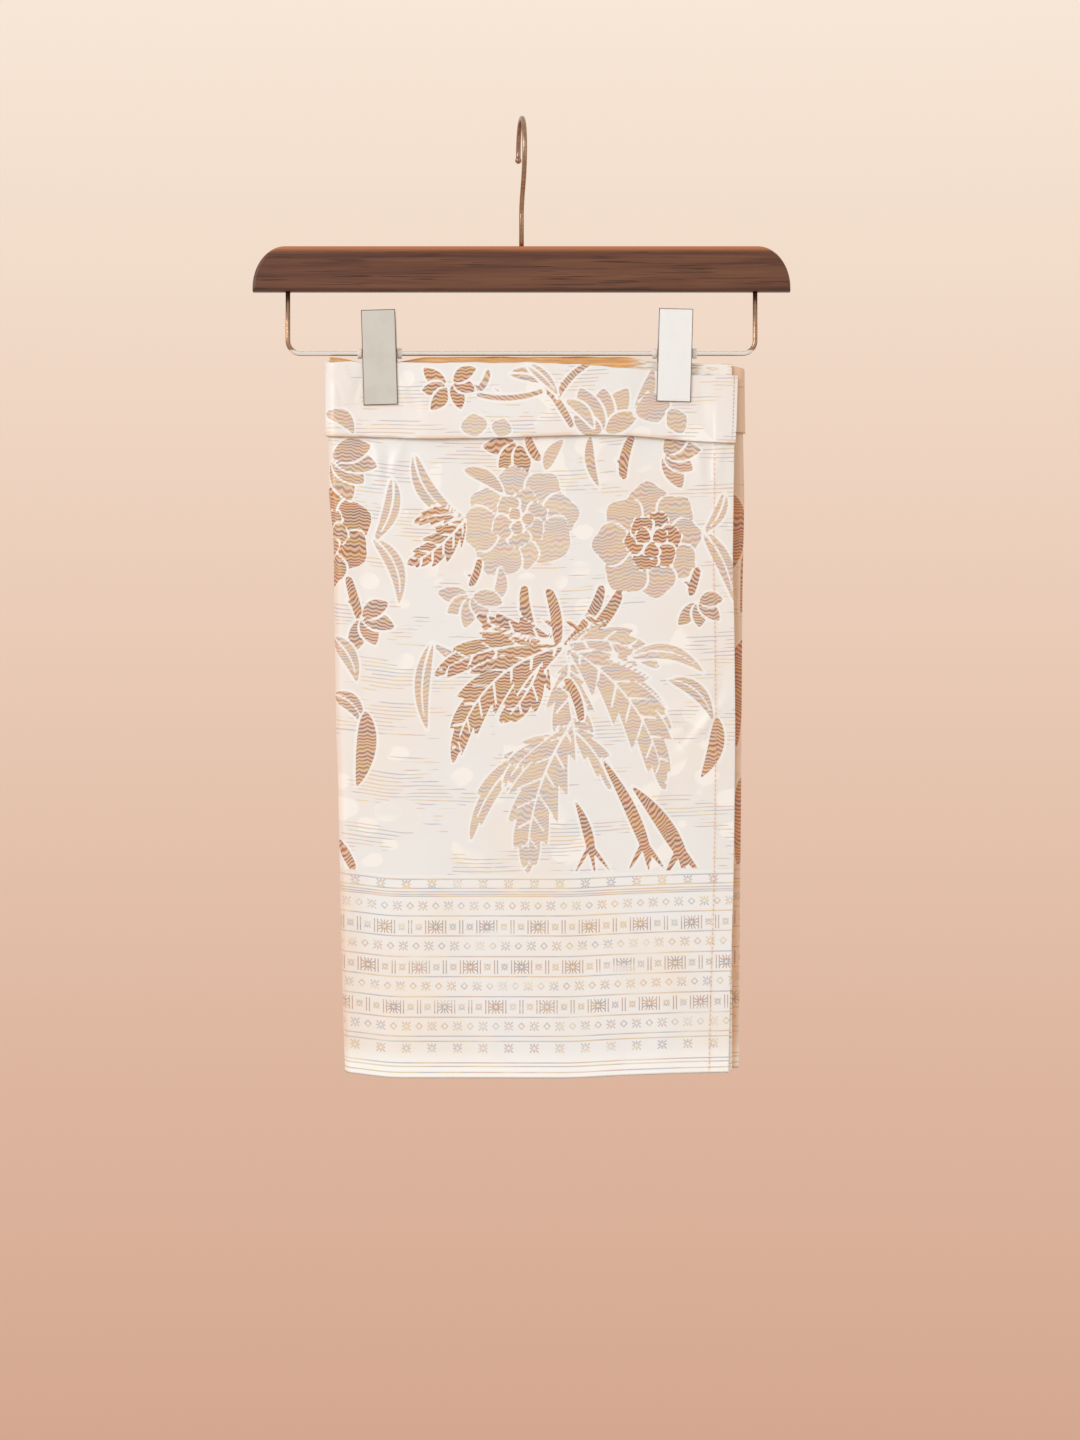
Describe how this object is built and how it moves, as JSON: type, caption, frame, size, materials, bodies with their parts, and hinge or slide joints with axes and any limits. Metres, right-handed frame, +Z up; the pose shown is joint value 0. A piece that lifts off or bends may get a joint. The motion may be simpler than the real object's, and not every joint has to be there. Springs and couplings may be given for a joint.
{
  "type": "folded sampin on a wooden clip hanger",
  "caption": "Cream brocade sampin with woven florals and a banded foot, folded flat and held by two metal clips on a dark wooden hanger.",
  "frame": {"origin": "underside of the hook's arc at its top, where a rail bears", "axes": "+X to the right seen from the front, +Y to the back, +Z up"},
  "size_m": [0.36, 0.0467, 0.6442],
  "materials": {
    "brocade": "satin ground with matt woven motifs",
    "brocade_shaded": "satin, in shade",
    "walnut": "satin varnish",
    "bright_wire": "bright",
    "clip_plate": "satin nickel",
    "spring_steel": "bright",
    "white_plastic": "matt"
  },
  "bodies": {
    "root": {"front_stretch": "brocade", "rear_stretch": "brocade", "waistband_front": "brocade", "waistband_rear": "brocade", "inner_layers": "brocade_shaded", "hanger_bar": "walnut", "hanger_hook": "bright_wire", "hanger_wire": "bright_wire", "clip_front_left": "clip_plate", "clip_rear_left": "clip_plate", "clip_sleeve_left": "white_plastic", "clip_spring_left": "spring_steel", "clip_front_right": "clip_plate", "clip_rear_right": "clip_plate", "clip_sleeve_right": "white_plastic", "clip_spring_right": "spring_steel"}
  },
  "joints": []
}
